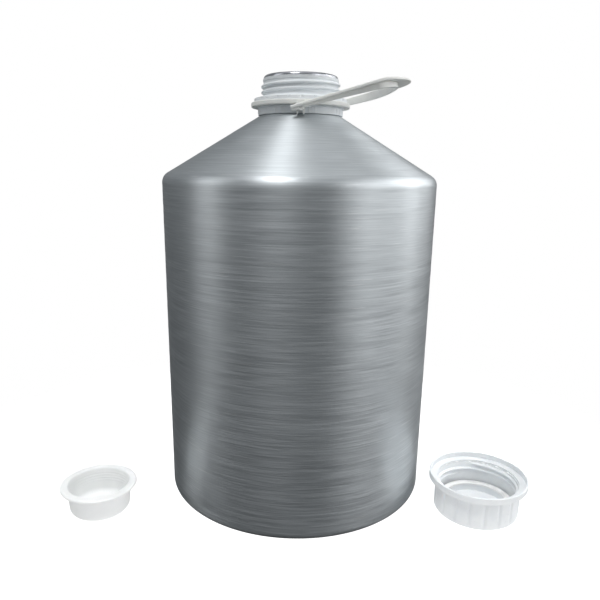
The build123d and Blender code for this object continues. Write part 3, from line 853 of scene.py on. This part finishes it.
class Finish:
    """The node tree of one material. node() adds any node and returns one of its outputs."""

    def __init__(self, name):
        self.material = bpy.data.materials.new(name)
        self.material.use_nodes = True
        self.tree = self.material.node_tree
        self.tree.nodes.clear()

    def node(self, kind, settings=None, inputs=None, output=0):
        made = self.tree.nodes.new("ShaderNode" + kind)
        for name, value in (settings or {}).items():
            setattr(made, name, value)
        for name, value in (inputs or {}).items():
            if isinstance(value, Value):
                self.tree.links.new(value.socket, made.inputs[name])
            else:
                made.inputs[name].default_value = value
        return Value(self, made.outputs[output]) if made.outputs else None

    def place(self):
        """Object coordinates, in metres."""
        return self.node("TexCoord", output="Object")

    def numbers(self, at):
        """The x, y and z of a place."""
        return [self.node("SeparateXYZ", {}, {0: at}, i) for i in range(3)]

    def noise(self, vector, scale, detail=2.0, roughness=0.5):
        return self.node(
            "TexNoise", {}, {"Vector": vector, "Scale": scale, "Detail": detail, "Roughness": roughness}
        )

    def between(self, value, low, high, bottom=0.0, top=1.0):
        """Smooth step of value from low to high, as a number from bottom to top."""
        return self.node(
            "MapRange",
            {"interpolation_type": "SMOOTHSTEP"},
            {0: value, 1: low, 2: high, 3: bottom, 4: top},
        )

    def mix(self, share, first, second):
        return self.node("Mix", {"data_type": "RGBA"}, {0: share, 6: first, 7: second}, 2)

    def bump(self, height, distance, strength):
        return self.node("Bump", {}, {"Height": height, "Distance": distance, "Strength": strength})

    def finished(self, inputs):
        shader = self.node("BsdfPrincipled", {}, inputs)
        self.node("OutputMaterial", {}, {"Surface": shader})
        return self.material


def spun_aluminium():
    """Satin aluminium with the fine rings of the spinning tool. The rings are noise that is drawn
    out round the axis: x and y count little, and the distance up the wall and shoulder counts much."""
    finish = Finish("spun_aluminium")
    at = finish.place()
    x, y, z = finish.numbers(at)
    radius = (x * x + y * y) ** 0.5
    up = z - radius * 0.6

    def rings(round_scale, up_scale, detail):
        stretched = finish.node(
            "CombineXYZ", {}, {0: x * round_scale, 1: y * round_scale, 2: up * up_scale}
        )
        return finish.noise(stretched, 1.0, detail, 0.6)

    fine = rings(60, 3400, 2.0)
    lines = rings(26, 1250, 4.0)
    bands = rings(5, 110, 2.0)
    scratch = finish.between(rings(34, 1300, 1.0), 0.68, 0.76)
    clouds = finish.noise(at, 16.0, 3.0, 0.55)
    streak = finish.between(lines, 0.30, 0.72)
    tone = finish.mix(streak, (0.54, 0.575, 0.595, 1), (0.69, 0.725, 0.745, 1))
    tone = finish.mix(finish.between(bands, 0.35, 0.65, 0.0, 0.35), tone, (0.58, 0.61, 0.63, 1))
    tone = finish.mix(scratch * 0.5, tone, (0.88, 0.89, 0.90, 1))
    curl_foot = (CURL_MIDDLE[1] - CURL_RADIUS) * MM
    polished = finish.between(z, curl_foot - 0.0005, curl_foot)
    tone = finish.mix(polished, tone, (0.42, 0.43, 0.46, 1))
    rough = 0.34 + streak * 0.10 + fine * 0.08 + clouds * 0.10 - scratch * 0.08 - polished * 0.22
    height = fine * 0.35 + lines * 0.5 + bands * 0.35 + scratch * 0.3
    normal = finish.bump(height, 0.00008, 0.45)
    return finish.finished(
        {
            "Base Color": tone,
            "Metallic": 1.0,
            "Roughness": rough,
            "Anisotropic": 0.75,
            "Anisotropic Rotation": 0.25,
            "Normal": normal,
        }
    )


def moulded_plastic(name, light, shade, rough, glow):
    """Moulded polyethylene: slow clouding of the colour, a fine grain, a little light let in."""
    finish = Finish(name)
    at = finish.place()
    clouds = finish.noise(at, 60.0, 4.0, 0.6)
    fine = finish.noise(at, 1800.0, 2.0, 0.6)
    specks = finish.between(finish.noise(at, 420.0, 1.0), 0.70, 0.78)
    tone = finish.mix(finish.between(clouds, 0.3, 0.7), light, shade)
    tone = finish.mix(specks * 0.25, tone, tuple(0.8 * v for v in shade[:3]) + (1,))
    normal = finish.bump(fine * 0.4 + clouds * 0.6, 0.00012, 0.35)
    return finish.finished(
        {
            "Base Color": tone,
            "Roughness": rough + fine * 0.10 + clouds * 0.08,
            "Subsurface Weight": glow,
            "Subsurface Radius": (1.0, 0.95, 0.9),
            "Subsurface Scale": 0.0025,
            "Normal": normal,
        }
    )


def gasket_foam():
    """Closed-cell foam: small round cells under a thin skin."""
    finish = Finish("gasket_foam")
    at = finish.place()
    cells = finish.node("TexVoronoi", {}, {"Vector": at, "Scale": 2600.0})
    clouds = finish.noise(at, 140.0, 3.0)
    tone = finish.mix(finish.between(clouds, 0.3, 0.7), (0.86, 0.86, 0.85, 1), (0.76, 0.76, 0.75, 1))
    return finish.finished(
        {
            "Base Color": tone,
            "Roughness": 0.70 + cells * 0.15,
            "Normal": finish.bump(cells, 0.0001, 0.4),
        }
    )


def milky_plastic():
    """Unpigmented soft polyethylene: milky, lets much light in, with faint flow lines."""
    finish = Finish("plug_plastic")
    at = finish.place()
    x, y, z = finish.numbers(at)
    clouds = finish.noise(at, 45.0, 4.0, 0.6)
    flow = finish.noise(finish.node("CombineXYZ", {}, {0: x * 60, 1: y * 60, 2: z * 500}), 1.0, 3.0)
    tone = finish.mix(finish.between(clouds, 0.3, 0.7), (0.95, 0.96, 0.95, 1), (0.90, 0.92, 0.91, 1))
    return finish.finished(
        {
            "Base Color": tone,
            "Roughness": 0.30 + flow * 0.12 + clouds * 0.1,
            "Subsurface Weight": 0.6,
            "Subsurface Radius": (1.0, 1.0, 0.95),
            "Subsurface Scale": 0.004,
            "Transmission Weight": 0.10,
            "IOR": 1.5,
            "Normal": finish.bump(flow * 0.6 + clouds * 0.4, 0.0001, 0.3),
        }
    )


collar_finish = moulded_plastic(
    "collar_plastic", (0.83, 0.86, 0.88, 1), (0.77, 0.80, 0.82, 1), 0.42, 0.25
)
handle_finish = moulded_plastic(
    "handle_plastic", (0.84, 0.85, 0.82, 1), (0.78, 0.78, 0.76, 1), 0.40, 0.25
)
cap_finish = moulded_plastic("cap_plastic", (0.82, 0.84, 0.85, 1), (0.77, 0.79, 0.81, 1), 0.42, 0.30)
aluminium = spun_aluminium()
foam = gasket_foam()
milky = milky_plastic()

# ---- Pieces: maker, body, nodes it stands for, slot, finish -----------------------------------
PIECES = [
    (bottle_shell, "bottle", ["bottle_shell"], "spun_aluminium", aluminium),
    (neck_collar, "bottle", ["neck_collar"], "collar_plastic", collar_finish),
    (handle_ring, "ring", ["handle_ring"], "handle_plastic", handle_finish),
    (carry_handle, "handle", ["carry_handle"], "handle_plastic", handle_finish),
    (cap_shell, "cap", ["cap_shell"], "cap_plastic", cap_finish),
    (lock_band, "cap", ["lock_band"], "cap_plastic", cap_finish),
    (band_bridges, "cap", ["band_bridges"], "cap_plastic", cap_finish),
    (cap_gasket, "cap", ["cap_gasket"], "gasket_foam", foam),
    (inner_plug, "plug", ["inner_plug"], "plug_plastic", milky),
]
for make, body, nodes, slot, finish in PIECES:
    piece = make()
    piece.data.materials.append(finish)
    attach(piece, body)
    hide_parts(*nodes)


# ---- Studio -----------------------------------------------------------------------------------
# The gap under the bottle is in millimetres, and the fade's radii are in metres.
FLOOR_GAP = 0.15
FADE_START = 0.20
FADE_END = 0.36


def floor():
    """Round pale floor that fades into the white backdrop a little way from the bottle."""
    reach = np.concatenate([[0], np.geomspace(60, 2600, 22)])
    path = np.stack([reach, np.full(len(reach), -FLOOR_GAP)], 1)
    plane = skin("floor", shells=[turned_grid(path, even_turns(72))])
    finish = Finish("pale_floor")
    at = finish.place()
    x, y, z = finish.numbers(at)
    radius = (x * x + y * y) ** 0.5
    soft = finish.noise(at, 3.0, 2.0)
    tone = finish.mix(soft, (0.50, 0.50, 0.50, 1), (0.54, 0.54, 0.54, 1))
    shader = finish.node(
        "BsdfPrincipled",
        {},
        {
            "Base Color": tone,
            "Roughness": 0.9,
            "Specular IOR Level": 0.0,
            "Emission Color": (1, 1, 1, 1),
            "Emission Strength": 0.95,
        },
    )
    clear = finish.node("BsdfTransparent")
    fade = finish.between(radius, FADE_START, FADE_END)
    mixed = finish.node("MixShader", {}, {0: fade, 1: shader, 2: clear})
    finish.node("OutputMaterial", {}, {"Surface": mixed})
    plane.data.materials.append(finish.material)
    plane.visible_glossy = False


def soft_box(name, azimuth, elevation, distance, width, height, power, aim=(0, 0, 0.16)):
    """Area light that looks at the bottle from an azimuth, counted from the front towards +X, and
    an elevation, both in degrees."""
    light = bpy.data.lights.new(name, "AREA")
    light.shape = "RECTANGLE"
    light.size = width
    light.size_y = height
    light.energy = power
    turn, lift = math.radians(azimuth), math.radians(elevation)
    away = (math.sin(turn) * math.cos(lift), -math.cos(turn) * math.cos(lift), math.sin(lift))
    place = Matrix.Translation([aim[i] + distance * away[i] for i in range(3)])
    facing = Euler((math.pi / 2 - lift, 0, turn)).to_matrix().to_4x4()
    lamp = bpy.data.objects.new(name, light)
    lamp.matrix_world = place @ facing
    bpy.context.scene.collection.objects.link(lamp)
    return lamp


floor()
soft_box("right_box", 92, 25, 1.3, 2.4, 0.95, 12)
soft_box("right_front", 45, 22, 1.3, 0.60, 0.9, 1.7)
soft_box("right_strip", 99, 26, 1.25, 0.12, 1.0, 1.6)
soft_box("left_box", -76, 24, 1.3, 0.55, 1.0, 2.2)
soft_box("top_box", -28, 63, 1.2, 0.30, 0.30, 4.4)
soft_box("ceiling", 200, 84, 1.3, 1.2, 1.0, 2)
soft_box("front_fill", 5, 45, 1.6, 1.2, 0.5, 0.8)
for name, middle, power in [("cap_lamp", CAP_MIDDLE, 0.016), ("plug_lamp", PLUG_MIDDLE, 0.020)]:
    aim = (middle[0] * MM, middle[1] * MM, 0.02)
    lamp = soft_box(name, 0, 78, 0.5, 0.10, 0.10, power, aim)
    lamp.data.spread = math.radians(24)


def backdrop():
    """Soft room light, stronger from above the horizon. The camera itself sees plain white."""
    world = bpy.data.worlds.new("backdrop")
    world.use_nodes = True
    nodes = world.node_tree.nodes
    links = world.node_tree.links
    nodes.clear()
    rays = nodes.new("ShaderNodeLightPath")
    facing = nodes.new("ShaderNodeTexCoord")
    parts = nodes.new("ShaderNodeSeparateXYZ")
    rise = nodes.new("ShaderNodeMapRange")
    rise.interpolation_type = "SMOOTHSTEP"
    rise.inputs["From Min"].default_value = -0.35
    rise.inputs["From Max"].default_value = 0.35
    rise.inputs["To Min"].default_value = 0.05
    rise.inputs["To Max"].default_value = 0.33
    room = nodes.new("ShaderNodeBackground")
    room.inputs["Color"].default_value = (0.93, 0.97, 1.0, 1)
    seen = nodes.new("ShaderNodeBackground")
    seen.inputs["Color"].default_value = (1, 1, 1, 1)
    choose = nodes.new("ShaderNodeMixShader")
    output = nodes.new("ShaderNodeOutputWorld")
    links.new(facing.outputs["Generated"], parts.inputs[0])
    links.new(parts.outputs["Z"], rise.inputs["Value"])
    links.new(rise.outputs["Result"], room.inputs["Strength"])
    links.new(rays.outputs["Is Camera Ray"], choose.inputs[0])
    links.new(room.outputs[0], choose.inputs[1])
    links.new(seen.outputs[0], choose.inputs[2])
    links.new(choose.outputs[0], output.inputs["Surface"])
    bpy.context.scene.world = world


backdrop()

# The camera stands in front of the bottle, looks down, and is rolled a little.
CAMERA_PLACE = (0, -0.485, 0.2669)
CAMERA_DOWN = math.radians(14.605)
CAMERA_ROLL = 0.0147
camera_data = bpy.data.cameras.new("camera")
camera_data.lens = 35.2
camera_data.shift_x = 0.0042
camera_data.shift_y = 0.0333
camera = bpy.data.objects.new("camera", camera_data)
tilt = Matrix.Rotation(math.pi / 2 - CAMERA_DOWN, 4, "X")
roll = Matrix.Rotation(CAMERA_ROLL, 4, "Z")
camera.matrix_world = Matrix.Translation(CAMERA_PLACE) @ tilt @ roll
bpy.context.scene.collection.objects.link(camera)
bpy.context.scene.camera = camera
bpy.context.scene.view_settings.view_transform = "Standard"


def plain(bounds):
    """A box as plain lists of numbers."""
    return [[float(v) for v in corner] for corner in bounds]
